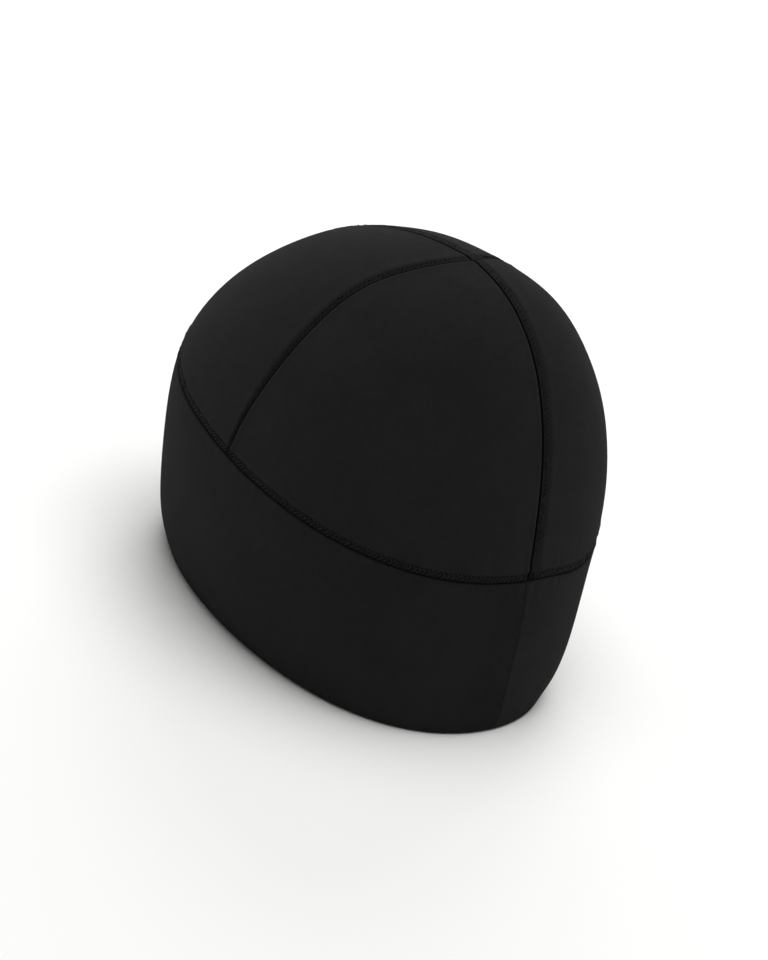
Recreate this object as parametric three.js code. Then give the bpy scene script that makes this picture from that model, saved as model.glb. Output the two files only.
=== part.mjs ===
import * as THREE from 'three';

// A close-fitting thermal cap in millimetres: four crown panels sewn to a band that is folded double
// at the hem. It stands on its hem at z = 0, with the forehead towards -Y and the wearer's left towards +X.

// Outer face: one row a level, evenly spaced along the cloth from the hem to the last one under the
// crossing. Front and back are where the row ends at the forehead and at the back of the head.
const levels = [
  { height: 0, halfWidth: 64, front: -88, back: 99.5 },
  { height: 19.5, halfWidth: 73, front: -94.5, back: 100.5 },
  { height: 53.5, halfWidth: 79.5, front: -99, back: 97 },
  { height: 84, halfWidth: 80.5, front: -99.5, back: 91.5 },
  { height: 111, halfWidth: 73, front: -88.5, back: 84.5 },
  { height: 136.5, halfWidth: 58, front: -66.5, back: 72.5 },
  { height: 157, halfWidth: 36, front: -33, back: 54 },
];
const crossing = { height: 168, y: 17.5 };

// Each row is an oval, a little fuller than an ellipse and widest behind its middle. Both are shares of
// its half length.
const oval = { fullness: 0.04, widestBehind: 0.11 };

// The band seam runs round the head, highest over the forehead and lowest over the nape.
const bandSeam = { height: 76.1, forwardRise: 7.7, earRise: 0.8 };

// The ear-to-ear seam: its angle from the forehead in degrees, at the band and at the crossing.
const earSeam = { bandLevel: 2.8, bandAngle: 84, crossingAngle: 72, bow: 18 };

// Walls and seams
const panelThickness = 2;
const bandThickness = 3.2;
const seamGap = 0.3;
const seamRoll = { width: 2.4, depth: 0.8, fullDepthSpan: 38 };
const panelLength = 150;
const hemCorner = 1;
const hemCornerRound = 0.3;

// Fineness of the faces
const panelRows = 24;
const bandColumns = 72;
const bandRows = 7;

const jersey = { color: 0x222223, roughness: 0.95, metalness: 0 };
const foldedJersey = { color: 0x1f1f20, roughness: 0.96, metalness: 0 };

const topLevel = levels.length;
const degrees = Math.PI / 180;

// A smooth curve through evenly spaced values. Its bends are settled by passing over the row many times.
function smoothCurve(values) {
  const bends = values.map(() => 0);
  for (let pass = 0; pass < 40; pass += 1) {
    for (let i = 1; i < values.length - 1; i += 1) {
      const turn = values[i - 1] - 2 * values[i] + values[i + 1];
      bends[i] = (6 * turn - bends[i - 1] - bends[i + 1]) / 4;
    }
  }
  return (at) => {
    const i = THREE.MathUtils.clamp(Math.floor(at), 0, values.length - 2);
    const after = at - i;
    const before = 1 - after;
    const bend = ((before ** 3 - before) * bends[i] + (after ** 3 - after) * bends[i + 1]) / 6;
    return before * values[i] + after * values[i + 1] + bend;
  };
}

// The rows go on over the crossing and down the other side, so that the dome is smooth at its top.
function columnOver(top, near, far) {
  return smoothCurve([...levels.map(near), top, ...levels.map(far).reverse()]);
}

const heightAt = columnOver(crossing.height, (row) => row.height, (row) => row.height);
const halfWidthAt = columnOver(0, (row) => row.halfWidth, (row) => -row.halfWidth);
const frontAt = columnOver(crossing.y, (row) => row.front, (row) => row.back);
const backAt = columnOver(crossing.y, (row) => row.back, (row) => row.front);

// A point of the outer face, where angle 0 is the forehead and 90 degrees the left ear.
function faceAt(level, angle) {
  const ahead = Math.cos(angle);
  const aside = Math.sin(angle);
  const halfLength = (backAt(level) - frontAt(level)) / 2;
  const middle = (backAt(level) + frontAt(level)) / 2 + oval.widestBehind * halfLength * aside ** 2;
  return new THREE.Vector3(
    halfWidthAt(level) * aside * (1 + oval.fullness * ahead ** 2),
    middle - halfLength * ahead * (1 + oval.fullness * aside ** 2),
    heightAt(level),
  );
}

// The way through the cloth, outwards: level at the hem, which lies flat, and square to the face above.
function outwardsAt(level, angle) {
  if (level > topLevel - 0.01) {
    return new THREE.Vector3(0, 0, 1);
  }
  const step = 0.01;
  const up = faceAt(level + step, angle).sub(faceAt(level - step, angle));
  const round = faceAt(level, angle + step).sub(faceAt(level, angle - step));
  const outwards = round.cross(up).normalize();
  outwards.z *= THREE.MathUtils.smoothstep(level, 0, 2);
  return outwards.normalize();
}

function pointAt(level, angle, depth) {
  return faceAt(level, angle).addScaledVector(outwardsAt(level, angle), -depth);
}

function levelAtHeight(height) {
  let low = 0;
  let high = topLevel;
  for (let halving = 0; halving < 30; halving += 1) {
    const middle = (low + high) / 2;
    if (heightAt(middle) < height) {
      low = middle;
    } else {
      high = middle;
    }
  }
  return (low + high) / 2;
}

function bandSeamHeight(angle) {
  return bandSeam.height + bandSeam.forwardRise * Math.cos(angle) - bandSeam.earRise * Math.cos(2 * angle);
}

function earSeamAngle(level) {
  const along = (level - earSeam.bandLevel) / (topLevel - earSeam.bandLevel);
  const turn = (earSeam.crossingAngle - earSeam.bandAngle) * along + earSeam.bow * along * (1 - along);
  return (earSeam.bandAngle + turn) * degrees;
}

function closedMesh(points, triangles, name, finish) {
  const geometry = new THREE.BufferGeometry().setFromPoints(points);
  geometry.setIndex(triangles.flat());
  geometry.computeVertexNormals();
  const mesh = new THREE.Mesh(geometry, new THREE.MeshStandardMaterial(finish));
  mesh.name = name;
  return mesh;
}

// Where a panel's point lies across its row, from 0 to 1. The outermost cells are as wide as the roll.
function acrossRow(column, row, span) {
  if (column === 0) {
    return 0;
  }
  if (column === row || row < 3) {
    return column / row;
  }
  const edge = Math.min(seamRoll.width / span, 1 / row);
  return edge + ((1 - 2 * edge) * (column - 1)) / (row - 2);
}

// How far down the panel a row's point lies. Rows run straight across near the crossing, and follow the
// band seam at the bottom.
function downPanel(row, across, spread) {
  const seamCell = seamRoll.width / panelLength;
  const down = row === panelRows ? 1 : (row / (panelRows - 1)) * (1 - seamCell);
  const straight = Math.cos(spread / 2) / Math.cos((across - 0.5) * spread);
  return down * (1 - (1 - down) * (1 - straight));
}

// A crown panel is a curved triangle from the crossing down to the band, with one more cell in each row.
// Its outer face rolls in towards the seams on all three sides, and less where they come together.
function crownPanel({ name, startAngle, endAngle, side, end }) {
  const outer = [];
  const inner = [];
  for (let row = 0; row <= panelRows; row += 1) {
    const rowLevel = topLevel - ((topLevel - earSeam.bandLevel) * row) / panelRows;
    const span = faceAt(rowLevel, startAngle(rowLevel)).distanceTo(faceAt(rowLevel, endAngle(rowLevel)));
    const roll = seamRoll.depth * Math.min(span / seamRoll.fullDepthSpan, 1);
    for (let column = 0; column <= row; column += 1) {
      const across = acrossRow(column, row, span);
      const angleAcross = (level) => THREE.MathUtils.lerp(startAngle(level), endAngle(level), across);
      const foot = levelAtHeight(bandSeamHeight(angleAcross(earSeam.bandLevel)) + seamGap / 2);
      const down = downPanel(row, across, endAngle(topLevel) - startAngle(topLevel));
      const level = topLevel - (topLevel - foot) * down;
      const atSeam = column === 0 || column === row || row === panelRows;
      outer.push(pointAt(level, angleAcross(level), atSeam ? roll : 0));
      inner.push(pointAt(level, angleAcross(level), panelThickness));
    }
  }

  const indexOf = (row, column) => (row * (row + 1)) / 2 + column;
  const faces = [];
  for (let row = 0; row < panelRows; row += 1) {
    for (let column = 0; column <= row; column += 1) {
      faces.push([indexOf(row, column), indexOf(row + 1, column), indexOf(row + 1, column + 1)]);
      if (column < row) {
        faces.push([indexOf(row, column), indexOf(row + 1, column + 1), indexOf(row, column + 1)]);
      }
    }
  }
  const rim = [];
  for (let row = 0; row < panelRows; row += 1) {
    rim.push(indexOf(row, 0));
  }
  for (let column = 0; column < panelRows; column += 1) {
    rim.push(indexOf(panelRows, column));
  }
  for (let row = panelRows; row > 0; row -= 1) {
    rim.push(indexOf(row, row));
  }

  const inside = outer.length;
  const triangles = [...faces, ...faces.map(([a, b, c]) => [a + inside, c + inside, b + inside])];
  rim.forEach((here, i) => {
    const next = rim[(i + 1) % rim.length];
    triangles.push([next, here, here + inside], [next, here + inside, next + inside]);
  });
  const mesh = closedMesh([...outer, ...inner], triangles, name, jersey);
  mesh.position.set((side * seamGap) / 2, (end * seamGap) / 2, 0);
  return mesh;
}

// The band's section at one angle, as height and depth: down the outer face, under the hem and up inside.
function bandSection(angle) {
  const top = bandSeamHeight(angle) - seamGap / 2;
  const shoulder = top - seamRoll.width;
  const between = (row) => hemCorner + ((shoulder - hemCorner) * row) / bandRows;
  const section = [{ height: top, depth: seamRoll.depth }];
  for (let row = bandRows; row >= 0; row -= 1) {
    section.push({ height: between(row), depth: 0 });
  }
  section.push({ height: hemCornerRound, depth: hemCornerRound });
  section.push({ height: 0, depth: hemCorner });
  section.push({ height: 0, depth: bandThickness - hemCorner });
  section.push({ height: hemCornerRound, depth: bandThickness - hemCornerRound });
  for (let row = 0; row <= bandRows; row += 1) {
    section.push({ height: between(row), depth: bandThickness });
  }
  section.push({ height: top, depth: bandThickness });
  return section;
}

// The band is one strip whose ends are sewn together at the nape, where its outer face dips into the seam.
function foldedBand(name) {
  const nape = Math.PI;
  const roll = seamRoll.width / halfWidthAt(1);
  const angles = [nape];
  for (let column = 0; column <= bandColumns; column += 1) {
    angles.push(nape + roll + ((2 * Math.PI - 2 * roll) * column) / bandColumns);
  }

  const points = [];
  let sectionSize = 0;
  angles.forEach((angle, column) => {
    const section = bandSection(angle);
    sectionSize = section.length;
    section.forEach(({ height, depth }) => {
      const dip = column === 0 && depth < bandThickness / 2 ? seamRoll.depth / 2 : 0;
      points.push(pointAt(levelAtHeight(height), angle, depth + dip));
    });
  });

  const triangles = [];
  for (let column = 0; column < angles.length; column += 1) {
    const here = column * sectionSize;
    const beside = ((column + 1) % angles.length) * sectionSize;
    for (let i = 0; i < sectionSize; i += 1) {
      const next = (i + 1) % sectionSize;
      triangles.push([here + i, here + next, beside + next], [here + i, beside + next, beside + i]);
    }
  }
  return closedMesh(points, triangles, name, foldedJersey);
}

const centreFront = () => 0;
const centreBack = () => Math.PI;
const leftEar = (level) => earSeamAngle(level);
const rightEar = (level) => -earSeamAngle(level);
const centreBackRight = () => -Math.PI;

const panels = [
  { name: 'crown_front_left', startAngle: centreFront, endAngle: leftEar, side: 1, end: -1 },
  { name: 'crown_back_left', startAngle: leftEar, endAngle: centreBack, side: 1, end: 1 },
  { name: 'crown_back_right', startAngle: centreBackRight, endAngle: rightEar, side: -1, end: 1 },
  { name: 'crown_front_right', startAngle: rightEar, endAngle: centreFront, side: -1, end: -1 },
];

const cap = new THREE.Group();
cap.name = 'thermal_cap';
panels.forEach((panel) => cap.add(crownPanel(panel)));
cap.add(foldedBand('band'));

export default cap;
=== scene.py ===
import math

import bpy
import numpy as np
from mathutils import Matrix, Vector
from mathutils.kdtree import KDTree


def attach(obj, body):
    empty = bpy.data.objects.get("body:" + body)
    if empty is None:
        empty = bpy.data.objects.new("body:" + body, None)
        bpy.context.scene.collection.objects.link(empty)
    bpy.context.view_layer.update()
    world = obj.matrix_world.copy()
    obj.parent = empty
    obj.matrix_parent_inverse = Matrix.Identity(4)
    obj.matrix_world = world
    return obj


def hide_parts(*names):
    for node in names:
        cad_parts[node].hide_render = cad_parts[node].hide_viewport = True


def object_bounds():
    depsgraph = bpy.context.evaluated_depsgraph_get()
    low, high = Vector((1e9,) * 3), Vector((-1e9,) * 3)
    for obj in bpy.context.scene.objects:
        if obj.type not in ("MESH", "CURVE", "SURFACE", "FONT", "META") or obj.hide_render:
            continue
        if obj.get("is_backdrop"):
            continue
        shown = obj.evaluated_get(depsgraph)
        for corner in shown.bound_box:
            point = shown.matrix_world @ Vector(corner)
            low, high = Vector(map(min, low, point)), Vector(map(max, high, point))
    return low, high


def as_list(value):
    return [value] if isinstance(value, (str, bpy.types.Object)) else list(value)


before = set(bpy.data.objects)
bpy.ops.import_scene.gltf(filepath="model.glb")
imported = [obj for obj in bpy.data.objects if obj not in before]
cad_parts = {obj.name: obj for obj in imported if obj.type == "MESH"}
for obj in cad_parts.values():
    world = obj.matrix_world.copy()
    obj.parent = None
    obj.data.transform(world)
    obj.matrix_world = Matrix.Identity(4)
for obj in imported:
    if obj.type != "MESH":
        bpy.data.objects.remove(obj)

cadLow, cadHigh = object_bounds()
mm = 0.001
random = np.random.default_rng(41)
print("frame loaded:", ", ".join(sorted(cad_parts)))


# The cap's form, in millimetres and degrees. Each list has one value a level, and the levels are evenly
# spaced along the cloth from the hem up.
capForm = {
    "heights": [0, 19.5, 53.5, 84, 111, 136.5, 157],
    "halfWidths": [64, 73, 79.5, 80.5, 73, 58, 36],
    "fronts": [-88, -94.5, -99, -99.5, -88.5, -66.5, -33],
    "backs": [99.5, 100.5, 97, 91.5, 84.5, 72.5, 54],
    "crossingHeight": 168,  # where the four crown panels meet
    "crossingY": 17.5,
    "fullness": 0.04,  # how much fuller than an ellipse each level is
    "widestBehind": 0.11,  # the widest place, as a share of the half length behind the middle
    "bandSeamHeight": 76.1,
    "bandSeamForwardRise": 7.7,
    "bandSeamEarRise": 0.8,
    "bandSeamRightDip": 3.8,  # the seam sits a little lower right of the nape
    "rightDipRise": (4, 30),  # from the nape, round by the right ear
    "rightDipFall": (50, 140),
    "earSeamFoot": 2.8,  # level at which the ear seam meets the band
    "earSeamFootAngle": 84,
    "earSeamTopAngle": 72,
    "earSeamBow": 18,
}
topLevel = len(capForm["heights"])


# A curve through evenly spaced values, smooth in its bend, found in a few dozen sweeps.
def smoothCurve(values, sweeps=40):
    values = np.asarray(values, float)
    bends = np.zeros(len(values))
    for sweep in range(sweeps):
        for i in range(1, len(values) - 1):
            turn = values[i - 1] - 2 * values[i] + values[i + 1]
            bends[i] = (6 * turn - bends[i - 1] - bends[i + 1]) / 4

    def at(place):
        i = np.clip(np.floor(place).astype(int), 0, len(values) - 2)
        after = place - i
        before = 1 - after
        bend = ((before**3 - before) * bends[i] + (after**3 - after) * bends[i + 1]) / 6
        return before * values[i] + after * values[i + 1] + bend

    return at


def overTheCrossing(near, top, far):
    return smoothCurve([*near, top, *reversed(far)])


heightAt = overTheCrossing(capForm["heights"], capForm["crossingHeight"], capForm["heights"])
halfWidthAt = overTheCrossing(capForm["halfWidths"], 0, [-w for w in capForm["halfWidths"]])
frontAt = overTheCrossing(capForm["fronts"], capForm["crossingY"], capForm["backs"])
backAt = overTheCrossing(capForm["backs"], capForm["crossingY"], capForm["fronts"])


# A point of the cloth's outer face: angle 0 is the forehead, 90 degrees the wearer's left ear.
def faceAt(level, angle):
    level, angle = np.broadcast_arrays(np.asarray(level, float), np.asarray(angle, float))
    ahead, aside = np.cos(angle), np.sin(angle)
    front, back = frontAt(level), backAt(level)
    halfLength = (back - front) / 2
    middle = (back + front) / 2 + capForm["widestBehind"] * halfLength * aside**2
    x = halfWidthAt(level) * aside * (1 + capForm["fullness"] * ahead**2)
    y = middle - halfLength * ahead * (1 + capForm["fullness"] * aside**2)
    return np.stack([x, y, heightAt(level)], -1)


def unit(vectors):
    return vectors / np.maximum(np.linalg.norm(vectors, axis=-1, keepdims=True), 1e-9)


def smoothStep(value, start, end):
    t = np.clip((value - start) / (end - start), 0, 1)
    return t * t * (3 - 2 * t)


# 1 between two ranges: it rises from 0 over the first and falls back over the second.
def window(value, rise, fall):
    return smoothStep(value, *rise) * (1 - smoothStep(value, *fall))


def hump(value, middle, spread):
    return np.exp(-(((value - middle) / spread) ** 2))


# Outwards through the cloth: level at the hem, square to the face from level 2 up.
def outwardsAt(level, angle, step=0.01, squareFrom=2):
    level = np.minimum(np.asarray(level, float), topLevel - 2 * step)
    upwards = faceAt(level + step, angle) - faceAt(level - step, angle)
    around = faceAt(level, angle + step) - faceAt(level, angle - step)
    out = unit(np.cross(around, upwards))
    out[..., 2] *= smoothStep(level, 0, squareFrom)
    return unit(out)


tablePoints = 4001
tableLevels = np.linspace(0, topLevel, tablePoints)
tableHeights = heightAt(tableLevels)


def levelAtHeight(height):
    return np.interp(height, tableHeights, tableLevels)


def bandSeamHeight(angle):
    fromNape = np.degrees((angle + math.pi) % (2 * math.pi))
    dip = window(fromNape, capForm["rightDipRise"], capForm["rightDipFall"])
    return (
        capForm["bandSeamHeight"]
        + capForm["bandSeamForwardRise"] * np.cos(angle)
        - capForm["bandSeamEarRise"] * np.cos(2 * angle)
        - capForm["bandSeamRightDip"] * dip
    )


def earSeamAngle(level):
    along = (level - capForm["earSeamFoot"]) / (topLevel - capForm["earSeamFoot"])
    turn = (capForm["earSeamTopAngle"] - capForm["earSeamFootAngle"]) * along
    bow = capForm["earSeamBow"] * along * (1 - along)
    return np.radians(capForm["earSeamFootAngle"] + turn + bow)


# Low, broad unevenness of cloth that holds its shape by itself, in millimetres. It is one field for all the
# pieces, so it runs on over the seams.
clothSwell = {
    "height": 0.32,
    "shortest": 34,
    "longest": 78,
    "waves": 9,
}


def seededWaves(shortest, longest, count, dimensions):
    directions = unit(random.normal(size=(count, dimensions)))
    lengths = random.uniform(shortest, longest, count)
    phases = random.uniform(0, 2 * math.pi, count)

    def at(points):
        turns = np.asarray(points) @ (directions.T * (2 * math.pi / lengths)) + phases
        return np.sin(turns).sum(-1) / math.sqrt(count)

    return at


swellWaves = seededWaves(clothSwell["shortest"], clothSwell["longest"], clothSwell["waves"], 3)


def swellAt(points):
    return clothSwell["height"] * swellWaves(points)


# How the cloth lies beside each seam, in millimetres. Stitching holds it down on one side as a strip with a
# sharp outer edge, beyond which it puffs up again. Only the centre seam's strip stands a little higher than
# the cloth. On the other side the cloth rolls into the crease and stands up as a soft lip. Shades are painted
# shade, as shares of the darkest colour: on the stitched strip, in the dip at its edge and in the crease,
# where shadow falls.
seams = {
    "centre": {
        "stripWidth": 4.0,
        "stripDepth": -0.05,
        "stripShade": 0.26,
        "edgeDip": 0.30,
        "puff": 0.15,
        "pucker": 0.06,
        "creaseSize": 1.1,
        "creaseShade": 1.0,
        "footShare": 1,  # the strip's width at the seam's foot, as a share of its full width
    },
    "ear": {
        "stripWidth": 2.8,
        "stripDepth": 0.28,
        "stripShade": 0.36,
        "edgeDip": 0.12,
        "puff": 0.15,
        "pucker": 0.05,
        "creaseSize": 1.0,
        "creaseShade": 0.8,
        "footShare": 0.5,
    },
    "band": {
        "stripWidth": 3.0,
        "stripDepth": 0.34,
        "stripShade": 0.44,
        "edgeDip": 0.16,
        "puff": 0.32,
        "pucker": 0.14,
        "creaseSize": 1.0,
        "creaseShade": 0.65,
        "footShare": 1,
    },
}
# What all the seams share, in millimetres. Places and ranges are measured out from the crease.
sewing = {
    "lipRollDepth": 1.15,
    "lipRollWidth": 1.15,
    "lipRise": 0.20,
    "lipPlace": 1.7,
    "lipSpread": 1.3,
    "stripRollDepth": 0.95,
    "stripRollWidth": 0.6,
    "stripRise": (0.1, 0.6),
    "stripFall": (-0.35, 0.45),  # from the strip's outer edge, as the puff's and the dip's places are
    "puffPlace": 1.9,
    "puffSpread": 1.4,
    "dipPlace": 0.1,
    "dipSpread": 0.45,
    "dipShadeSpread": 0.4,
    "dipShade": 1.2,  # for each millimetre of dip
    "creaseShadeRange": (0.25, 0.7),
    "puckerFrom": (0.3, 2.0),
    "puckerReach": 5.5,
    "puckerShortest": 3.1,
    "puckerLongest": 7.5,
    "fullWidthFrom": (15, 80),  # along the seam from its foot
    "allowanceRange": (4.5, 5.5),
    "allowanceThickness": 0.8,
    "pulledTogether": 0.04,  # sewn pieces run this far into each other, so that no light comes through
}


def rollIn(distance, depth, width):
    t = np.clip(1 - distance / width, 0, 1)
    return depth * (1 - np.sqrt(1 - t * t))


def stripShare(distance, seam):
    start, end = (seam["stripWidth"] + place for place in sewing["stripFall"])
    return window(distance, sewing["stripRise"], (start, end))


def stripRelief(distance, seam):
    beyond = distance - seam["stripWidth"]
    puff = seam["puff"] * hump(beyond, sewing["puffPlace"], sewing["puffSpread"])
    dip = seam["edgeDip"] * hump(beyond, sewing["dipPlace"], sewing["dipSpread"])
    return puff - dip - seam["stripDepth"] * stripShare(distance, seam)


# Along is measured from the seam's foot. The ear seams' strips are narrower there.
def widthShare(along, seam):
    return seam["footShare"] + (1 - seam["footShare"]) * smoothStep(along, *sewing["fullWidthFrom"])


def lipRelief(distance):
    return sewing["lipRise"] * hump(distance, sewing["lipPlace"], sewing["lipSpread"])


puckersAt = seededWaves(sewing["puckerShortest"], sewing["puckerLongest"], 7, 1)


def puckerRelief(distance, along, seam):
    reach = np.exp(-distance / sewing["puckerReach"]) * smoothStep(distance, *sewing["puckerFrom"])
    return seam["pucker"] * reach * puckersAt(along[..., None])


def lengthsAlong(points):
    steps = np.linalg.norm(np.diff(points, axis=0), axis=1)
    return np.concatenate([[0], np.cumsum(steps)])


# Distance from each point to the line, and how far along the line that is.
def nearestOnLine(points, line):
    tree = KDTree(len(line))
    for i, place in enumerate(line):
        tree.insert(place, i)
    tree.balance()
    found = [tree.find(p)[1:] for p in points]
    index = np.array([f[0] for f in found])
    distance = np.array([f[1] for f in found])
    return distance, lengthsAlong(line)[index]


def addObject(name, data):
    thing = bpy.data.objects.new(name, data)
    bpy.context.scene.collection.objects.link(thing)
    return thing


def addMesh(name, points, faces, uv, faceMaterials, materials):
    mesh = bpy.data.meshes.new(name)
    mesh.from_pydata((np.asarray(points) * mm).tolist(), [], faces)
    for material in materials:
        mesh.materials.append(material)
    mesh.polygons.foreach_set("material_index", faceMaterials)
    mesh.polygons.foreach_set("use_smooth", [True] * len(faces))
    loops = np.zeros(len(mesh.loops), int)
    mesh.loops.foreach_get("vertex_index", loops)
    layer = mesh.uv_layers.new(name="cloth")
    layer.data.foreach_set("uv", (np.asarray(uv)[loops] * mm).ravel())
    mesh.update()
    return addObject(name, mesh)


# Painted shade in the cloth's colour, where shadow falls on stitched strips, in creases and grooves, and left
# of
# the nape seam: 0 is open cloth, and 1 is the darkest.
def markPaintedShade(piece, shares):
    layer = piece.data.attributes.new("paintedShade", "FLOAT", "POINT")
    layer.data.foreach_set("value", shares)


def linear(hexColour):
    parts = [int(hexColour[i : i + 2], 16) / 255 for i in (1, 3, 5)]
    parts = [c / 12.92 if c <= 0.04045 else ((c + 0.055) / 1.055) ** 2.4 for c in parts]
    return (*parts, 1)


# Settings are the node's own or its inputs', and a ramp's stops are pairs of a place and a colour.
def addNode(nodes, kind, settings=None, links=None):
    node = nodes.nodes.new(kind)
    for key, value in (settings or {}).items():
        if key == "stops":
            marks = node.color_ramp.elements
            for place, colour in value:
                marks.new(place).color = colour
            marks.remove(marks[0])
            marks.remove(marks[len(marks) - 1])
        elif isinstance(key, str) and hasattr(node, key):
            setattr(node, key, value)
        else:
            node.inputs[key].default_value = value
    for key, source in (links or {}).items():
        nodes.links.new(source, node.inputs[key])
    return node


def newMaterial(name):
    material = bpy.data.materials.new(name)
    material.use_nodes = True
    nodes = material.node_tree
    nodes.nodes.clear()
    return material, nodes


# Brushed polyester and elastane jersey, dyed black. Circular knitted, so its face is fine upright ribs of
# small V stitches; brushing leaves it matt, with a soft grey lift where it turns away from the eye.
jerseyLook = {
    "dark": "#121212",
    "light": "#19191a",
    "toneRange": (0.4, 0.65),  # of the mixed noise, from all dark to all light
    # colour of full painted shade
    "paintedShade": "#060606",
    "roughness": 0.88,
    "roughnessSpread": 0.06,
    "gloss": 0.02,
    "sheen": 0.027,
    "sheenSpread": 0.8,
    "waleSpacing": 0.75,  # mm; the real 0.55 mm is drawn a little coarser so that it shows
    "courseSpacing": 0.6,
    "stitchHeight": 0.08,
    "stitchSlant": 0.9,  # courses that a stitch runs down from its wale's middle to its side, twice over
    "stitchShare": 0.35,  # of the stitches' height beside the ribs'
    "waver": 1.6,
    "waverSize": 3.5,
    "fuzzSize": 0.35,
    "fuzzHeight": 0.03,
    "toneSize": 26,
    # the rib's share is painted shade: darker in the grooves between the ribs
    "shares": {"tone": 0.5, "fuzz": 0.22, "waver": 0.24, "rib": 0.12},  # of each in the light and dark
}


def makeJersey(name, look):
    material, nodes = newMaterial(name)
    uv = addNode(nodes, "ShaderNodeUVMap", {"uv_map": "cloth"})
    place = addNode(nodes, "ShaderNodeSeparateXYZ", links={0: uv.outputs[0]})
    # yarn that was brushed and stretched doesn't lie dead straight
    waver = addNode(
        nodes,
        "ShaderNodeTexNoise",
        {"Scale": 1 / (look["waverSize"] * mm), "Detail": 2},
        {0: uv.outputs[0]},
    )
    waleDrift = addNode(
        nodes,
        "ShaderNodeMath",
        {"operation": "MULTIPLY_ADD", 1: look["waver"] * mm},
        {0: waver.outputs[0], 2: place.outputs[0]},
    )
    walePlace = addNode(
        nodes,
        "ShaderNodeMath",
        {"operation": "MULTIPLY", 1: 1 / (look["waleSpacing"] * mm)},
        {0: waleDrift.outputs[0]},
    )
    coursePlace = addNode(
        nodes,
        "ShaderNodeMath",
        {"operation": "MULTIPLY", 1: 1 / (look["courseSpacing"] * mm)},
        {0: place.outputs[1]},
    )
    # each wale swells in its middle, and its stitches slant down to both sides as a V
    fromMiddle = addNode(
        nodes, "ShaderNodeMath", {"operation": "PINGPONG", 1: 0.5}, {0: walePlace.outputs[0]}
    )
    ribTurn = addNode(
        nodes, "ShaderNodeMath", {"operation": "MULTIPLY", 1: math.pi}, {0: fromMiddle.outputs[0]}
    )
    rib = addNode(nodes, "ShaderNodeMath", {"operation": "SINE"}, {0: ribTurn.outputs[0]})
    slant = addNode(
        nodes,
        "ShaderNodeMath",
        {"operation": "MULTIPLY_ADD", 1: look["stitchSlant"]},
        {0: fromMiddle.outputs[0], 2: coursePlace.outputs[0]},
    )
    slantTurn = addNode(
        nodes, "ShaderNodeMath", {"operation": "MULTIPLY", 1: 2 * math.pi}, {0: slant.outputs[0]}
    )
    stitch = addNode(nodes, "ShaderNodeMath", {"operation": "SINE"}, {0: slantTurn.outputs[0]})
    knit = addNode(
        nodes,
        "ShaderNodeMath",
        {"operation": "MULTIPLY_ADD", 1: look["stitchShare"]},
        {0: stitch.outputs[0], 2: rib.outputs[0]},
    )

    space = addNode(nodes, "ShaderNodeTexCoord")
    fuzz = addNode(
        nodes,
        "ShaderNodeTexNoise",
        {"Scale": 1 / (look["fuzzSize"] * mm), "Detail": 3, "Roughness": 0.65},
        {0: space.outputs["Object"]},
    )
    tone = addNode(
        nodes,
        "ShaderNodeTexNoise",
        {"Scale": 1 / (look["toneSize"] * mm), "Detail": 5, "Roughness": 0.78},
        {0: space.outputs["Object"]},
    )
    shade = addNode(
        nodes,
        "ShaderNodeMath",
        {"operation": "MULTIPLY", 1: look["shares"]["tone"]},
        {0: tone.outputs[0]},
    )
    # the rib's share darkens the grooves between the ribs: painted shade
    for source, share in ((fuzz, "fuzz"), (waver, "waver"), (rib, "rib")):
        shade = addNode(
            nodes,
            "ShaderNodeMath",
            {"operation": "MULTIPLY_ADD", 1: look["shares"][share]},
            {0: source.outputs[0], 2: shade.outputs[0]},
        )
    tones = (linear(look["dark"]), linear(look["light"]))
    colour = addNode(
        nodes,
        "ShaderNodeValToRGB",
        {"stops": zip(look["toneRange"], tones)},
        {0: shade.outputs[0]},
    )

    # painted shade: the colour is mixed towards near black and the sheen is taken away, for the shadow in
    # creases, grooves and under stitching
    paintedShade = addNode(nodes, "ShaderNodeAttribute", {"attribute_name": "paintedShade"})
    sheenOutOfPaintedShade = addNode(
        nodes,
        "ShaderNodeMath",
        {"operation": "MULTIPLY_ADD", 1: -look["sheen"], 2: look["sheen"]},
        {0: paintedShade.outputs["Fac"]},
    )
    blend = addNode(
        nodes,
        "ShaderNodeMix",
        {"data_type": "RGBA", "B": linear(look["paintedShade"])},
        {"Factor": paintedShade.outputs["Fac"], "A": colour.outputs[0]},
    )

    knitBump = addNode(
        nodes,
        "ShaderNodeBump",
        {"Strength": 1, "Distance": look["stitchHeight"] * mm},
        {"Height": knit.outputs[0]},
    )
    fuzzBump = addNode(
        nodes,
        "ShaderNodeBump",
        {"Strength": 1, "Distance": look["fuzzHeight"] * mm},
        {"Height": fuzz.outputs[0], "Normal": knitBump.outputs[0]},
    )
    smooth = look["roughness"] - look["roughnessSpread"]
    rough = look["roughness"] + look["roughnessSpread"]
    roughness = addNode(
        nodes, "ShaderNodeMapRange", {"To Min": smooth, "To Max": rough}, {0: fuzz.outputs[0]}
    )
    cloth = addNode(
        nodes,
        "ShaderNodeBsdfPrincipled",
        {"IOR": 1.5, "Specular IOR Level": look["gloss"], "Sheen Roughness": look["sheenSpread"]},
        {
            "Sheen Weight": sheenOutOfPaintedShade.outputs[0],
            "Base Color": blend.outputs["Result"],
            "Roughness": roughness.outputs[0],
            "Normal": fuzzBump.outputs[0],
        },
    )
    addNode(nodes, "ShaderNodeOutputMaterial", links={0: cloth.outputs[0]})
    return material


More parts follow.
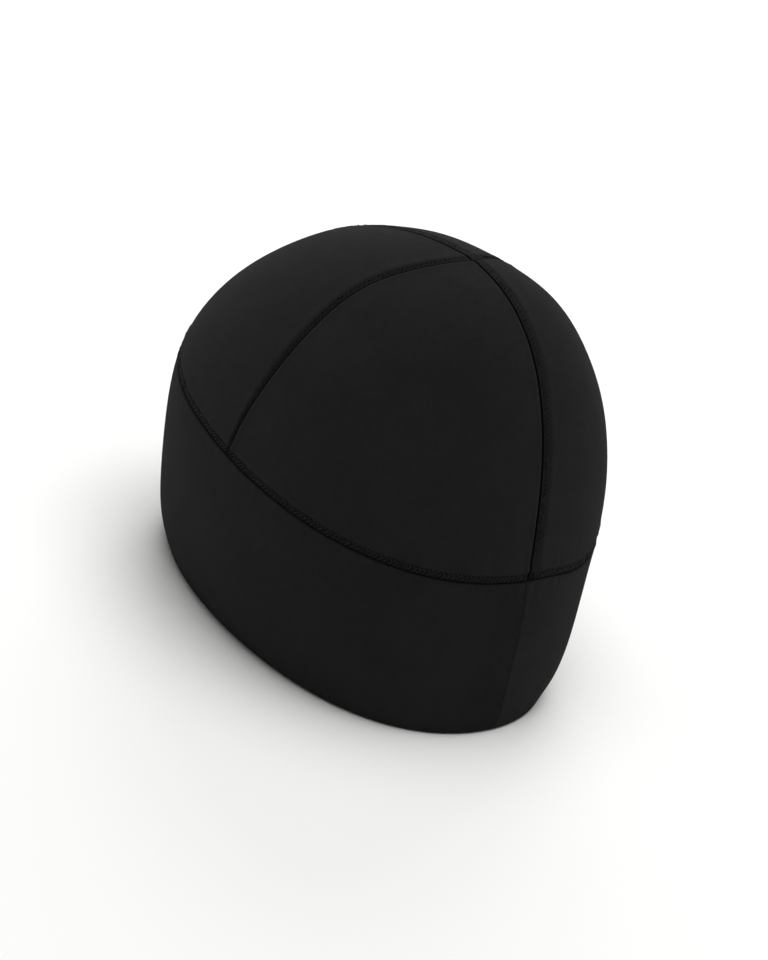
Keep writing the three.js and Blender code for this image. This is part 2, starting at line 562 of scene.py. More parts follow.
# The jersey's back, brushed to a short fleece: tangled fibre with no ribs, a little lighter than the face.
fleeceLook = {
    "dark": "#1a1a1b",
    "light": "#2a2a2b",
    "toneRange": (0.3, 0.7),
    "roughness": 0.95,
    "gloss": 0.15,
    "sheen": 0.3,
    "sheenSpread": 0.6,
    "tuftSize": 1.6,  # mm
    "tuftHeight": 0.25,
    "tangle": 1.2,
    "fibreSize": 0.3,
    "fibreHeight": 0.08,
}


def makeFleece(name, look):
    material, nodes = newMaterial(name)
    space = addNode(nodes, "ShaderNodeTexCoord")
    tufts = addNode(
        nodes,
        "ShaderNodeTexNoise",
        {"Scale": 1 / (look["tuftSize"] * mm), "Detail": 3, "Distortion": look["tangle"]},
        {0: space.outputs["Object"]},
    )
    fibres = addNode(
        nodes,
        "ShaderNodeTexNoise",
        {"Scale": 1 / (look["fibreSize"] * mm), "Detail": 2},
        {0: space.outputs["Object"]},
    )
    tones = (linear(look["dark"]), linear(look["light"]))
    colour = addNode(
        nodes,
        "ShaderNodeValToRGB",
        {"stops": zip(look["toneRange"], tones)},
        {0: tufts.outputs[0]},
    )
    tuftBump = addNode(
        nodes,
        "ShaderNodeBump",
        {"Strength": 1, "Distance": look["tuftHeight"] * mm},
        {"Height": tufts.outputs[0]},
    )
    fibreBump = addNode(
        nodes,
        "ShaderNodeBump",
        {"Strength": 1, "Distance": look["fibreHeight"] * mm},
        {"Height": fibres.outputs[0], "Normal": tuftBump.outputs[0]},
    )
    cloth = addNode(
        nodes,
        "ShaderNodeBsdfPrincipled",
        {
            "IOR": 1.5,
            "Roughness": look["roughness"],
            "Specular IOR Level": look["gloss"],
            "Sheen Weight": look["sheen"],
            "Sheen Roughness": look["sheenSpread"],
        },
        {"Base Color": colour.outputs[0], "Normal": fibreBump.outputs[0]},
    )
    addNode(nodes, "ShaderNodeOutputMaterial", links={0: cloth.outputs[0]})
    return material


# Textured polyester thread, spun and dyed black: a bit smoother than the cloth, so single stitches glint.
threadLook = {
    "dark": "#141415",
    "light": "#212123",
    "toneRange": (0.35, 0.65),
    "roughness": 0.6,
    "gloss": 0.17,
    "plySize": 0.22,  # mm
    "plyHeight": 0.03,
}
# The same thread with painted shade in its colour, for the crown's own seams, where shadow between the
# stitches makes them show as small dark strokes.
paintedShadeThreadLook = {
    "dark": "#040404",
    "light": "#0f0f10",
    "roughness": 0.85,
    "gloss": 0.05,
}


def makeThread(name, look):
    material, nodes = newMaterial(name)
    space = addNode(nodes, "ShaderNodeTexCoord")
    plies = addNode(
        nodes,
        "ShaderNodeTexNoise",
        {"Scale": 1 / (look["plySize"] * mm), "Detail": 2},
        {0: space.outputs["Object"]},
    )
    tones = (linear(look["dark"]), linear(look["light"]))
    colour = addNode(
        nodes,
        "ShaderNodeValToRGB",
        {"stops": zip(look["toneRange"], tones)},
        {0: plies.outputs[0]},
    )
    bump = addNode(
        nodes,
        "ShaderNodeBump",
        {"Strength": 1, "Distance": look["plyHeight"] * mm},
        {"Height": plies.outputs[0]},
    )
    thread = addNode(
        nodes,
        "ShaderNodeBsdfPrincipled",
        {"IOR": 1.54, "Roughness": look["roughness"], "Specular IOR Level": look["gloss"]},
        {"Base Color": colour.outputs[0], "Normal": bump.outputs[0]},
    )
    addNode(nodes, "ShaderNodeOutputMaterial", links={0: thread.outputs[0]})
    return material


jersey = makeJersey("brushed_polyester_jersey_face", jerseyLook)
fleece = makeFleece("brushed_polyester_jersey_back", fleeceLook)
thread = makeThread("textured_polyester_thread", threadLook)
paintedShadeThread = makeThread("textured_polyester_thread_painted_shade", {**threadLook, **paintedShadeThreadLook})
print("materials made")


# Rows and columns lie close together beside a seam, at these distances from it in millimetres.
seamSteps = np.array(
    [0, 0.12, 0.26, 0.42, 0.6, 0.8, 1.02, 1.28, 1.6, 1.95, 2.3, 2.65, 3.0, 3.4, 3.8, 4.3, 4.9, 5.6, 6.4]
)

# A crown panel: a curved triangle of jersey from the crossing down to the band seam. In millimetres.
crownPanel = {
    "thickness": 2.0,
    "length": 150,
    "rows": 150,
    "columns": 118,
    "fullStepsFrom": 60,  # rows narrower than this have their steps by the seams shrunk with them
    "measuredAt": 241,  # points across a row from which its length is measured
    "linePoints": 1700,  # along each seam line
    "footPoints": 1600,
    "lineStartsBelow": 0.5,  # levels under the ear seam's foot, so that each line reaches the band seam
    "mostRelief": 0.5,
    "crossingBulk": 0.35,  # the four allowances under the crossing
    "crossingReach": 7,
}


def placesAcross(width):
    edge = seamSteps * min(1, width / crownPanel["fullStepsFrom"])
    middle = np.linspace(edge[-1], width - edge[-1], crownPanel["columns"] + 1)[1:-1]
    return np.concatenate([edge, middle, width - edge[::-1]])


# Rows near the crossing run straight from seam to seam, and lower ones bend round to the band seam.
def panelLevels(down, across, startAngle, endAngle):
    spread = abs(endAngle(topLevel) - startAngle(topLevel))
    straight = math.cos(spread / 2) / np.cos((across - 0.5) * spread)
    share = down * (1 - (1 - down) * (1 - straight))
    footLevel = capForm["earSeamFoot"]
    footAngle = startAngle(footLevel) * (1 - across) + endAngle(footLevel) * across
    foot = levelAtHeight(bandSeamHeight(footAngle) - sewing["pulledTogether"] / 2)
    level = topLevel - (topLevel - foot) * share
    angle = startAngle(level) * (1 - across) + endAngle(level) * across
    return level, angle


# The panel's points as levels and angles, the crossing first and then row by row, and where they lie on the
# flat cloth.
def layPanel(startAngle, endAngle):
    steps = seamSteps / crownPanel["length"]
    evenDowns = np.linspace(0, 1 - steps[-1], crownPanel["rows"] + 1)[1:-1]
    downs = np.concatenate([evenDowns, 1 - steps[::-1]])
    dense = np.linspace(0, 1, crownPanel["measuredAt"])
    middle = len(dense) // 2
    levels, angles, uv = [[topLevel]], [[0.0]], [[[0, 0]]]
    lengthDown, middleBefore = 0, faceAt(topLevel, 0.0)
    for down in downs:
        level, angle = panelLevels(down, dense, startAngle, endAngle)
        points = faceAt(level, angle)
        along = lengthsAlong(points)
        places = placesAcross(along[-1])
        across = np.interp(places, along, dense)
        level, angle = panelLevels(down, across, startAngle, endAngle)
        lengthDown += np.linalg.norm(points[middle] - middleBefore)
        middleBefore = points[middle]
        levels.append(level)
        angles.append(angle)
        uv.append(np.stack([places - along[-1] / 2, np.full(len(places), -lengthDown)], -1))
    flat = [np.concatenate(rows) for rows in (levels, angles, uv)]
    return *flat, len(downs), len(places), lengthDown


# What the seams do to each point: how far it rolls in, how much it is raised, how much allowance lies under
# it, and how much painted shade it gets.
def sewPanel(face, lines):
    drop, relief, allowance, paintedShade = 0, 0, 0, 0
    for line, (seamName, side) in lines:
        distance, along = nearestOnLine(face, line)
        seam = seams[seamName]
        size = seam["creaseSize"]
        roll = rollIn(distance, sewing[side + "RollDepth"] * size, sewing[side + "RollWidth"] * size)
        drop = np.maximum(drop, roll)
        if side == "strip":
            atFullWidth = distance / widthShare(along, seam)
            relief = relief + stripRelief(atFullWidth, seam)
            # painted shade on the stitched strip and in the dip at its outer edge, where shadow falls
            paintedShade = np.maximum(paintedShade, seam["stripShade"] * stripShare(atFullWidth, seam))
            edge = hump(atFullWidth, seam["stripWidth"] + sewing["dipPlace"], sewing["dipShadeSpread"])
            paintedShade = np.maximum(paintedShade, sewing["dipShade"] * seam["edgeDip"] * edge)
            allowance = np.maximum(allowance, 1 - smoothStep(distance, *sewing["allowanceRange"]))
        else:
            relief = relief + lipRelief(distance)
        relief = relief + puckerRelief(distance, along, seam)
        # painted shade in the crease
        start, end = (place * size for place in sewing["creaseShadeRange"])
        paintedShade = np.maximum(paintedShade, seam["creaseShade"] * (1 - smoothStep(distance, start, end)))
    return drop, relief, allowance, paintedShade


def makeCrownPanel(name, startAngle, endAngle, start, end, shift):
    level, angle, uv, rowCount, columnCount, lengthDown = layPanel(startAngle, endAngle)
    face, out = faceAt(level, angle), outwardsAt(level, angle)
    out[0] = (0, 0, 1)

    lineStart = capForm["earSeamFoot"] - crownPanel["lineStartsBelow"]
    lineLevels = np.linspace(lineStart, topLevel, crownPanel["linePoints"])
    footAcross = np.linspace(0, 1, crownPanel["footPoints"])
    footLine = faceAt(*panelLevels(1.0, footAcross, startAngle, endAngle))
    lines = [
        (faceAt(lineLevels, startAngle(lineLevels)), start),
        (faceAt(lineLevels, endAngle(lineLevels)), end),
        (footLine, ("band", "strip")),
    ]
    drop, relief, allowance, paintedShade = sewPanel(face, lines)
    bulk = hump(np.linalg.norm(face - face[0], axis=1), 0, crownPanel["crossingReach"])
    most = crownPanel["mostRelief"]
    relief = np.clip(relief, -most, most) + crownPanel["crossingBulk"] * bulk
    swell = swellAt(face)
    depth = crownPanel["thickness"] + sewing["allowanceThickness"] * allowance - swell
    outer = face + out * (swell + relief - drop)[:, None]
    inner = face - out * depth[:, None]
    outer[:, :2] += shift
    inner[:, :2] += shift

    def at(row, column):
        return 0 if row == 0 else 1 + (row - 1) * columnCount + column

    shown = []
    lastColumn = columnCount - 1
    for row in range(rowCount):
        for column in range(lastColumn):
            corners = [at(row, column), at(row + 1, column)]
            corners += [at(row + 1, column + 1), at(row, column + 1)]
            shown.append(corners[:3] if row == 0 else corners)
    under = len(outer)
    hidden = [[i + under for i in reversed(corners)] for corners in shown]
    border = [at(row, 0) for row in range(rowCount + 1)]
    border += [at(rowCount, column) for column in range(1, columnCount)]
    border += [at(row, lastColumn) for row in range(rowCount - 1, 0, -1)]
    edges = [
        [beyond, here, here + under, beyond + under] for here, beyond in zip(border, border[1:] + border[:1])
    ]
    faces = shown + hidden + edges
    finishes = [0] * len(shown) + [1] * len(hidden) + [0] * len(edges)
    points = np.concatenate([outer, inner])
    panel = addMesh(name, points, faces, np.concatenate([uv, uv]), finishes, [jersey, fleece])
    markPaintedShade(panel, np.concatenate([paintedShade, 0 * paintedShade]))
    width = lengthsAlong(footLine)[-1]
    print(f"{name}: {len(faces)} faces, foot {width:.0f} mm, length {lengthDown:.0f} mm")
    return panel


def centreFront(level):
    return np.zeros_like(np.asarray(level, float))


def centreBack(level):
    return centreFront(level) + math.pi


def centreBackRight(level):
    return centreFront(level) - math.pi


def leftEar(level):
    return earSeamAngle(np.asarray(level, float))


def rightEar(level):
    return -leftEar(level)


# Each panel's two side seams, how its cloth lies at each, and its small shift towards its neighbours.
pull = sewing["pulledTogether"] / 2
panels = {
    "crown_front_left": (centreFront, leftEar, ("centre", "lip"), ("ear", "strip"), (-pull, pull)),
    "crown_back_left": (leftEar, centreBack, ("ear", "lip"), ("centre", "lip"), (-pull, -pull)),
    "crown_back_right": (centreBackRight, rightEar, ("centre", "strip"), ("ear", "lip"), (pull, -pull)),
    "crown_front_right": (rightEar, centreFront, ("ear", "strip"), ("centre", "strip"), (pull, pull)),
}
shownPanels = {}
for node, (startAngle, endAngle, start, end, shift) in panels.items():
    panel = makeCrownPanel(node + "_jersey", startAngle, endAngle, start, end, np.array(shift))
    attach(panel, "root")
    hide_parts(node)
    shownPanels[node] = panel


# The band: one strip folded double at the hem, its two edges sewn into the band seam and its ends sewn
# together at the nape. In millimetres.
band = {
    "layer": 1.45,  # one thickness of cloth
    "between": 0.3,
    "hemRound": 1.6,
    "hemSquareness": 0.85,
    "hemRows": 10,
    "outerRows": 74,
    "innerRows": 34,
    "hiddenRows": 12,
    "insideAboveHem": 0.2,  # how far the fold's inside stays above the hem's rounding
    "rollInside": 0.35,  # shares of the outer face's roll into the seam, for the layers behind it
    "rollBehindInside": 0.45,
    "rollBehindOuter": 0.55,
    "girthLevel": 1.5,  # level round which the columns are spaced
    "girthPoints": 6001,
    "columnsFine": 0.45,
    "columnsCoarse": 1.3,
    "fineUpTo": 17,  # from the nape seam
    "coarseFrom": 50,
    "swellAboveHem": (0, 14),
    "napeDepth": 0.26,
    "napeWidth": 0.4,
    "napeLip": 0.1,
    "napeLipPlace": 1.3,
    "napeLipSpread": 0.8,
    # painted shade in the nape seam's groove
    "napeShade": 0.5,
    "napeShadeWidth": 0.35,
    "napeHeights": [0, 8, 20, 45, 60, 76],  # above the hem, where the nape seam leans by
    "napeLeans": [-3.0, -1.8, -0.9, -0.9, 0, 2.5],  # this much towards the wearer's left
}
# Small gathers under the band seam, left of the nape.
gathers = {
    "height": 0.09,
    "spacing": 1.95,
    "slant": 0.15,
    "leftRise": (1.0, 2.5),  # from the nape
    "leftFall": (12, 16),
    "seamRise": (0.4, 2),  # from the band seam
    "reach": 4.5,
}
# Long faint ridges over the nape seam's allowance, which is pressed to the left.
napeRidges = {
    "height": 0.07,
    "spacing": 3.0,
    "sway": 0.25,
    "swayLength": 6.5,
    "steady": 0.6,  # the rest of their height comes and goes
    "fadeLength": 4.3,
    "leftRise": (1.2, 2.6),
    "leftFall": (9, 12),
    "upRise": (3, 12),  # from the hem
    "upFall": (42, 58),
    # painted shade left of the nape seam, where the cloth turns a little away from the light
    "shade": 0.2,  # the cloth over the allowance is darker
    "shadeRise": (0, 0.5),
    "shadeFall": (8, 30),
}


def bandAngles():
    dense = np.linspace(math.pi, 3 * math.pi, band["girthPoints"])
    girth = lengthsAlong(faceAt(band["girthLevel"], dense))
    fromNape = np.minimum(girth, girth[-1] - girth)
    coarser = smoothStep(fromNape, band["fineUpTo"], band["coarseFrom"])
    size = band["columnsFine"] + (band["columnsCoarse"] - band["columnsFine"]) * coarser
    count = np.concatenate([[0], np.cumsum(np.diff(girth) / size[:-1])])
    places = np.linspace(0, count[-1], int(count[-1]) + 1)[:-1]
    return np.interp(places, count, dense), np.interp(places, count, girth), girth[-1]


# The section as rows of height, depth, share of the roll into the band seam, and share of the outer relief.
# It runs down the outer face, round the hem, up the inside, and back through the fold between the two layers.
def bandSection(top):
    hem, layer, between = band["hemRound"], band["layer"], band["between"]
    whole = 2 * layer + between
    foldFoot = hem + band["insideAboveHem"]
    rows = [(top - step, 0, 1, 1) for step in seamSteps]
    for share in np.linspace(0, 1, band["outerRows"] + 1)[1:]:
        rows.append(((top - seamSteps[-1]) * (1 - share) + hem * share, 0, 1, 1))
    for turn in np.linspace(0, math.pi, band["hemRows"] + 1)[1:-1]:
        height = hem * (1 - math.sin(turn) ** band["hemSquareness"])
        rows.append((height + 0 * top, whole / 2 * (1 - math.cos(turn)), 0, 0.5))
    for share in np.linspace(0, 1, band["innerRows"] + 1):
        rows.append((hem * (1 - share) + top * share, whole, band["rollInside"], 0))
    lastSeen = len(rows)
    for share in np.linspace(0, 1, band["hiddenRows"] + 1):
        height = top * (1 - share) + foldFoot * share
        rows.append((height, layer + between, band["rollBehindInside"], 0))
    rows.append((hem - between / 2 + 0 * top, layer + between / 2, 0, 0))
    for share in np.linspace(0, 1, band["hiddenRows"] + 1):
        height = foldFoot * (1 - share) + top * share
        rows.append((height, layer, band["rollBehindOuter"], 0))
    heights = np.array([row[0] for row in rows])
    depths, rollShare, outerShare = (np.array([row[k] for row in rows])[:, None] for k in (1, 2, 3))
    return heights, depths, rollShare, outerShare, lastSeen


def napeRelief(fromNape):
    groove = -band["napeDepth"] * hump(fromNape, 0, band["napeWidth"])
    return groove + band["napeLip"] * hump(fromNape, band["napeLipPlace"], band["napeLipSpread"])


def gatherRelief(leftOfNape, fromSeam):
    reach = window(leftOfNape, gathers["leftRise"], gathers["leftFall"])
    reach = reach * np.exp(-fromSeam / gathers["reach"]) * smoothStep(fromSeam, *gathers["seamRise"])
    turns = 2 * math.pi * leftOfNape / gathers["spacing"] + gathers["slant"] * fromSeam
    return gathers["height"] * reach * np.cos(turns)


def ridgeRelief(leftOfNape, heights):
    sway = napeRidges["sway"] * np.sin(heights / napeRidges["swayLength"])
    turns = 2 * math.pi * (leftOfNape / napeRidges["spacing"] + sway)
    comeAndGo = np.sin(heights / napeRidges["fadeLength"] + leftOfNape)
    strength = napeRidges["steady"] + (1 - napeRidges["steady"]) * comeAndGo
    reach = window(leftOfNape, napeRidges["leftRise"], napeRidges["leftFall"])
    reach = reach * window(heights, napeRidges["upRise"], napeRidges["upFall"])
    return napeRidges["height"] * strength * reach * np.cos(turns)


def makeBand(name):
    angle, along, girth = bandAngles()
    columns = len(angle)
    top = bandSeamHeight(angle) + sewing["pulledTogether"] / 2
    heights, depths, rollShare, outerShare, lastSeen = bandSection(top)
    level = levelAtHeight(heights)
    angles = np.broadcast_to(angle, level.shape)
    face, out = faceAt(level, angles), outwardsAt(level, angles)

    # distances below the band seam and from the nape seam, left of which they are above 0
    fromSeam = top - heights
    lean = np.interp(heights, band["napeHeights"], band["napeLeans"])
    leftOfNape = np.where(along > girth / 2, girth - along, -along) - lean
    fromNape = np.abs(leftOfNape)
    drop = rollIn(fromSeam, sewing["lipRollDepth"], sewing["lipRollWidth"]) * rollShare
    relief = lipRelief(fromSeam) + napeRelief(fromNape)
    relief = relief + puckerRelief(fromSeam, np.broadcast_to(along, fromSeam.shape), seams["band"])
    relief = relief + gatherRelief(leftOfNape, fromSeam) + ridgeRelief(leftOfNape, heights)
    swell = swellAt(face) * smoothStep(heights, *band["swellAboveHem"])
    points = face + out * (swell + outerShare * relief - drop - depths)[..., None]

    steps = np.linalg.norm(np.diff(points, axis=0), axis=2).mean(1)
    cloth = np.concatenate([[0], np.cumsum(steps)])
    uv = np.stack(np.broadcast_arrays(along, -cloth[:, None]), -1).reshape(-1, 2)

    faces, finishes = [], []
    for row in range(len(heights)):
        here, below = row * columns, (row + 1) % len(heights) * columns
        for column in range(columns):
            beside = (column + 1) % columns
            faces.append([here + column, below + column, below + beside, here + beside])
            finishes.append(0 if row < lastSeen else 1)
    piece = addMesh(name, points.reshape(-1, 3), faces, uv, finishes, [jersey, fleece])
    # painted shade: in the band seam's crease, in the nape seam's groove, and left of the nape seam over its
    # allowance, where the cloth turns a little away from the light
    crease = seams["band"]["creaseShade"] * (1 - smoothStep(fromSeam, *sewing["creaseShadeRange"]))
    nape = band["napeShade"] * hump(fromNape, 0, band["napeShadeWidth"])
    allowance = window(leftOfNape, napeRidges["shadeRise"], napeRidges["shadeFall"])
    paintedShade = np.maximum(np.maximum(crease, nape), napeRidges["shade"] * allowance)
    markPaintedShade(piece, (paintedShade * (outerShare == 1)).ravel())
    print(f"{name}: {len(faces)} faces, girth {girth:.0f} mm, cloth round the section {cloth[-1]:.0f} mm")
    return piece


bandPiece = makeBand("band_folded_jersey")
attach(bandPiece, "root")
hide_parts("band")


# Stitching on each seam's strip, in millimetres. Each row is how far from the crease a stitch starts and
# ends, and where in the pitch it starts and ends.
stitching = {
    "rows": {
        "centre": [(1.2, 1.6, 0.0, 0.5), (1.5, 3.4, 0.5, 0.9)],
        "ear": [(0.8, 2.1, 0.0, 0.5), (2.5, 2.2, 0.5, 0.85)],
        "band": [(0.6, 1.4, 0.0, 0.5), (1.5, 2.2, 0.4, 0.9), (2.9, 2.1, 0.1, 0.5)],
    },
    "pitch": 2.0,
    "threadThickness": {"centre": 0.3, "ear": 0.38, "band": 0.36},
    "sink": {"centre": 0.20, "ear": 0.19, "band": 0.21},
    "bow": {"centre": 0.26, "ear": 0.32, "band": 0.36},  # how high a stitch's middle stands
    "bowFullness": 0.6,
    "unevenness": {"centre": 0.16, "ear": 0.1, "band": 0.2},
    "unevenAside": 0.6,  # of the unevenness, across the seam and up and down
    "tension": {"centre": 0.06, "ear": 0.06, "band": 0.14},  # how much deeper in tight places
    "tightShortest": 7,
    "tightLongest": 26,
    "clothRadius": 80,  # to which the cloth falls away beside the crease
    "dive": {"centre": 0, "ear": 0, "band": 0.7},  # where the band seam crosses the centre seam's feet
    "diveWidth": 1.2,
    "sides": 6,
    "points": 7,
}
tensionAt = seededWaves(stitching["tightShortest"], stitching["tightLongest"], 6, 1)


# Every stitch's path in one row, and which way is up from the cloth along it.
def stitchPaths(seamName, row, line, out, sideSign):
    fromOffset, toOffset, fromShare, toShare = row
    along = lengthsAlong(line)
    side = unit(np.cross(unit(np.gradient(line, axis=0)), out)) * sideSign
    t = np.linspace(0, 1, stitching["points"])
    count = int(along[-1] / stitching["pitch"])
    starts = (np.arange(count) * stitching["pitch"])[:, None]
    wobble = random.normal(0, stitching["unevenness"][seamName], (count, 3))
    place = starts + stitching["pitch"] * (fromShare + (toShare - fromShare) * t) + wobble[:, :1]
    place = np.clip(place, 0, along[-1])
    offset = fromOffset + (toOffset - fromOffset) * t + stitching["unevenAside"] * wobble[:, 1:2]

    def onLine(values):
        return np.stack([np.interp(place, along, values[:, k]) for k in range(3)], -1)

    base, up, aside = onLine(line), unit(onLine(out)), unit(onLine(side))
    lie = stripRelief(offset, seams[seamName]) + swellAt(base) - offset**2 / (2 * stitching["clothRadius"])
    lie = lie - stitching["sink"][seamName] + stitching["unevenAside"] * wobble[:, 2:]
    lie = lie + stitching["bow"][seamName] * np.sin(math.pi * t) ** stitching["bowFullness"]
    lie = lie - stitching["tension"][seamName] * tensionAt(place[..., None])
    lie = lie - stitching["dive"][seamName] * hump(base[..., 0], 0, stitching["diveWidth"])
    offset = offset * widthShare(place, seams[seamName])
    return base + aside * offset[..., None] + up * lie[..., None], up


def makeStitches(name, seamName, levels, angles, sideSign, material):
    line, out = faceAt(levels, angles), outwardsAt(levels, angles)
    rows = [stitchPaths(seamName, row, line, out, sideSign) for row in stitching["rows"][seamName]]
    paths, ups = (np.concatenate(parts) for parts in zip(*rows))
    forward = unit(np.gradient(paths, axis=1))
    across = unit(np.cross(forward, ups))
    above = np.cross(across, forward)
    turns = np.linspace(0, 2 * math.pi, stitching["sides"], endpoint=False)[:, None]
    ring = np.cos(turns) * across[:, :, None, :] + np.sin(turns) * above[:, :, None, :]
    points = paths[:, :, None, :] + ring * stitching["threadThickness"][seamName] / 2
    stitchCount, ringCount, sides = points.shape[:3]
    faces = []
    for stitch in range(stitchCount):
        first = stitch * ringCount * sides
        last = first + (ringCount - 1) * sides
        for ringStart in range(first, last, sides):
            for k in range(sides):
                a, b = ringStart + k, ringStart + (k + 1) % sides
                faces.append([a, b, b + sides, a + sides])
        faces.append([first + k for k in reversed(range(sides))])
        faces.append([last + k for k in range(sides)])
    flat = points.reshape(-1, 3)
    piece = addMesh(name, flat, faces, flat[:, :2], [0] * len(faces), [material])
    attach(piece, "root")
    print(f"{name}: {stitchCount} stitches, seam {lengthsAlong(line)[-1]:.0f} mm")
    return piece


seamPoints = 500
seamFootBack = levelAtHeight(bandSeamHeight(math.pi))
seamFootFront = levelAtHeight(bandSeamHeight(0.0))
seamFootEar = levelAtHeight(bandSeamHeight(math.radians(capForm["earSeamFootAngle"])))
upTheBack = np.linspace(seamFootBack, topLevel, seamPoints)
downTheFront = np.linspace(topLevel, seamFootFront, seamPoints)[1:]
upTheEar = np.linspace(seamFootEar, topLevel, seamPoints)[:-12]  # up to the centre seam's strip
roundTheHead = np.linspace(-math.pi, math.pi, 3 * seamPoints)
centreLevels = np.concatenate([upTheBack, downTheFront])
centreAngles = np.concatenate([centreBack(upTheBack), centreFront(downTheFront)])
bandLevels = levelAtHeight(bandSeamHeight(roundTheHead))
centreStitches = makeStitches("centre_seam_stitches", "centre", centreLevels, centreAngles, 1, paintedShadeThread)
leftEarStitches = makeStitches("left_ear_seam_stitches", "ear", upTheEar, leftEar(upTheEar), -1, paintedShadeThread)
rightEarStitches = makeStitches("right_ear_seam_stitches", "ear", upTheEar, rightEar(upTheEar), 1, paintedShadeThread)
bandStitches = makeStitches("band_seam_stitches", "band", bandLevels, roundTheHead, -1, thread)

# Each sheet's flat cut, in metres: across the band and along the panel, with the area of the triangle cut.
flatCuts = {
    "crown_front_left": ((0.135, 0.150), 0.0118, [leftEarStitches]),
    "crown_front_right": ((0.135, 0.150), 0.0118, [rightEarStitches]),
    "crown_back_left": ((0.150, 0.145), 0.0130, [bandStitches]),
    "crown_back_right": ((0.150, 0.145), 0.0130, [centreStitches]),
}
for node, (flat, area, sewnOn) in flatCuts.items():
    panel = shownPanels[node]
    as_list(sewnOn)
print("cloth and stitches in place")


# Pale studio: a white floor in a white room with a bright round ceiling light, and two large softboxes.
# Places are in metres, power in watts. Heights in the room are sines of the angle above the floor.
studio = {
    "floorColour": "#f2f2f0",
    "floorHalf": 9,
    "floorGrain": 700,  # per metre
    "floorGrainHeight": 0.0001,
    "ceilingLight": 3.17,
    "wallFoot": 0.48,  # brightness of the walls near the floor, which is what low views see
    "wall": 0.14,
    "roomHeights": {"wallFoot": 0.1, "wallFrom": 0.22, "wallTo": 0.8, "ceilingLight": 0.9},
    "softboxSize": 1.4,
    "softboxAim": (0, 0, 0.09),
    "softboxes": {
        "left_softbox": {"place": (1.6, -0.7, 0.9), "power": 1.5},
        "far_softbox": {"place": (-1.3, -1.3, 1.1), "power": 18},
    },
}


# Matt white studio paper: smooth fibres with hardly any gloss, which shows as an even pale floor.
def makeFloor():
    material, nodes = newMaterial("matt_white_studio_paper")
    space = addNode(nodes, "ShaderNodeTexCoord")
    grain = addNode(
        nodes,
        "ShaderNodeTexNoise",
        {"Scale": studio["floorGrain"], "Detail": 2},
        {0: space.outputs["Object"]},
    )
    bump = addNode(
        nodes,
        "ShaderNodeBump",
        {"Strength": 0.05, "Distance": studio["floorGrainHeight"]},
        {"Height": grain.outputs[0]},
    )
    paper = addNode(
        nodes,
        "ShaderNodeBsdfPrincipled",
        {"Base Color": linear(studio["floorColour"]), "Roughness": 0.9, "Specular IOR Level": 0.1},
        {"Normal": bump.outputs[0]},
    )
    addNode(nodes, "ShaderNodeOutputMaterial", links={0: paper.outputs[0]})
    half = studio["floorHalf"]
    corners = [(-half, -half, 0), (half, -half, 0), (half, half, 0), (-half, half, 0)]
    mesh = bpy.data.meshes.new("studio_floor")
    mesh.from_pydata(corners, [], [(0, 1, 2, 3)])
    mesh.materials.append(material)
    addObject("studio_floor", mesh)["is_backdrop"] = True


def makeRoom():
    world = bpy.data.worlds.new("white_room")
    world.use_nodes = True
    nodes = world.node_tree
    nodes.nodes.clear()
    heights = studio["roomHeights"]
    stops = []
    for place, value in (
        (heights["wallFoot"], studio["wallFoot"]),
        (heights["wallFrom"], studio["wall"]),
        (heights["wallTo"], studio["wall"]),
        (heights["ceilingLight"], studio["ceilingLight"]),
    ):
        share = value / studio["ceilingLight"]
        stops.append((place, (share, share, share, 1)))
    direction = addNode(nodes, "ShaderNodeTexCoord")
    upwards = addNode(nodes, "ShaderNodeSeparateXYZ", links={0: direction.outputs["Generated"]})
    brightness = addNode(nodes, "ShaderNodeValToRGB", {"stops": stops}, {0: upwards.outputs["Z"]})
    glow = addNode(
        nodes, "ShaderNodeBackground", {"Strength": studio["ceilingLight"]}, {0: brightness.outputs[0]}
    )
    addNode(nodes, "ShaderNodeOutputWorld", links={0: glow.outputs[0]})
    bpy.context.scene.world = world


def setPlace(thing, right, up, back, place):
    rows = [[right[i], up[i], back[i], place[i]] for i in range(3)]
    thing.matrix_world = Matrix([*rows, [0, 0, 0, 1]])


# Right and up as seen from a place that lies this way back from what it looks at.
def levelSight(back):
    right = unit(np.cross((0, 0, 1), back))
    return right, np.cross(back, right)


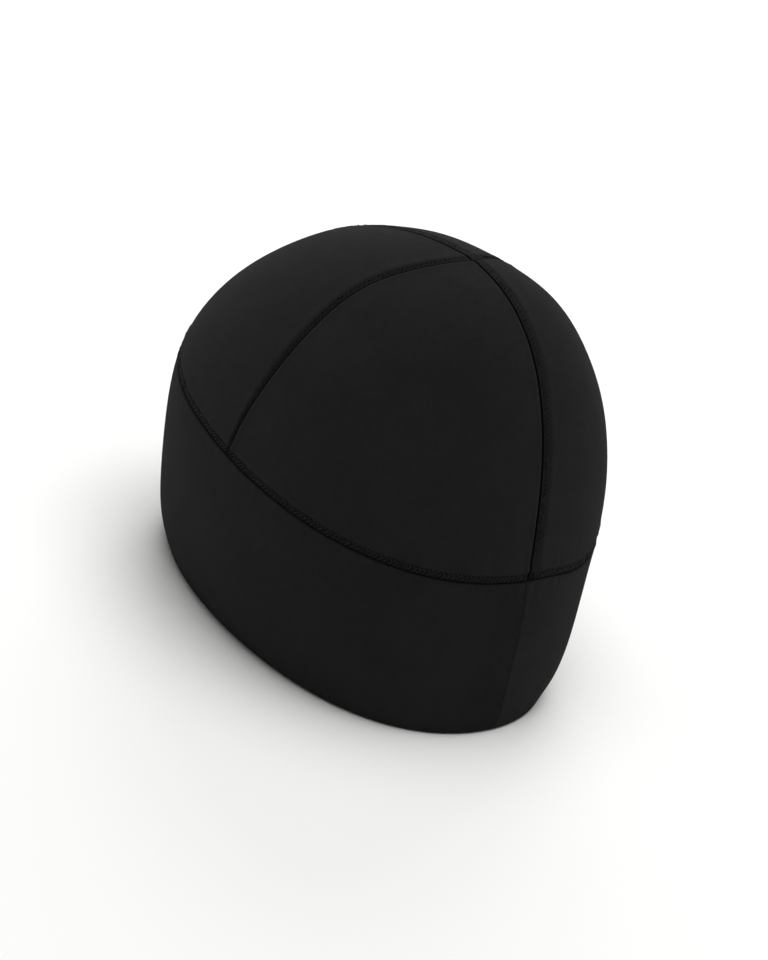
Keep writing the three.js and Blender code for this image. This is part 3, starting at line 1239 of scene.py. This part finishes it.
def addSoftbox(name, place, power):
    light = bpy.data.lights.new(name, "AREA")
    light.shape = "DISK"
    light.size = studio["softboxSize"]
    light.energy = power
    back = unit(np.array(place) - np.array(studio["softboxAim"]))
    setPlace(addObject(name, light), *levelSight(back), back, place)


makeFloor()
for lightName, softbox in studio["softboxes"].items():
    addSoftbox(lightName, softbox["place"], softbox["power"])
makeRoom()
bpy.context.scene.view_settings.view_transform = "Standard"

# The photo's camera: behind the wearer's left, 26 degrees above the floor, and rolled, so that the cap looks
# turned clockwise.
photoCamera = {
    "azimuth": 47.2084,  # degrees from the back towards the wearer's left
    "elevation": 26.1524,
    "roll": -16.9456,
    "aim": (0, 0.5, 85),  # mm
    "across": 2.8985,  # mm by which the picture's middle lies left of the aim
    "upwards": 22.7336,  # and below it
    "distance": 1600,  # mm
    "scale": 2.4795,  # pixels a millimetre at that distance
    "photoWidth": 960,  # pixels along the picture's longer side
    "sensorWidth": 36,  # mm
    "clip": (0.05, 50),  # metres
}


def makeCamera():
    azimuth, elevation, roll = (math.radians(photoCamera[k]) for k in ("azimuth", "elevation", "roll"))
    sideways = math.cos(elevation)
    back = np.array([math.sin(azimuth) * sideways, math.cos(azimuth) * sideways, math.sin(elevation)])
    levelRight, levelUp = levelSight(back)
    right = levelRight * math.cos(roll) - levelUp * math.sin(roll)
    up = levelUp * math.cos(roll) + levelRight * math.sin(roll)
    place = np.array(photoCamera["aim"]) + photoCamera["distance"] * back
    place = (place - photoCamera["across"] * right - photoCamera["upwards"] * up) * mm
    data = bpy.data.cameras.new("photo_camera")
    pixels = photoCamera["scale"] * photoCamera["distance"]
    data.sensor_width = photoCamera["sensorWidth"]
    data.lens = pixels * photoCamera["sensorWidth"] / photoCamera["photoWidth"]
    data.clip_start, data.clip_end = photoCamera["clip"]
    camera = addObject("photo_camera", data)
    setPlace(camera, right, up, back, place)
    bpy.context.scene.camera = camera


makeCamera()
print("studio and camera set")

shownLow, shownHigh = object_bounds()
sizes = {"cad": [list(cadLow), list(cadHigh)], "visual": [list(shownLow), list(shownHigh)]}
inMm = [[round(v / mm, 1) for v in corner] for box in sizes.values() for corner in box]
print("sizes in mm, CAD then shown:", inMm)
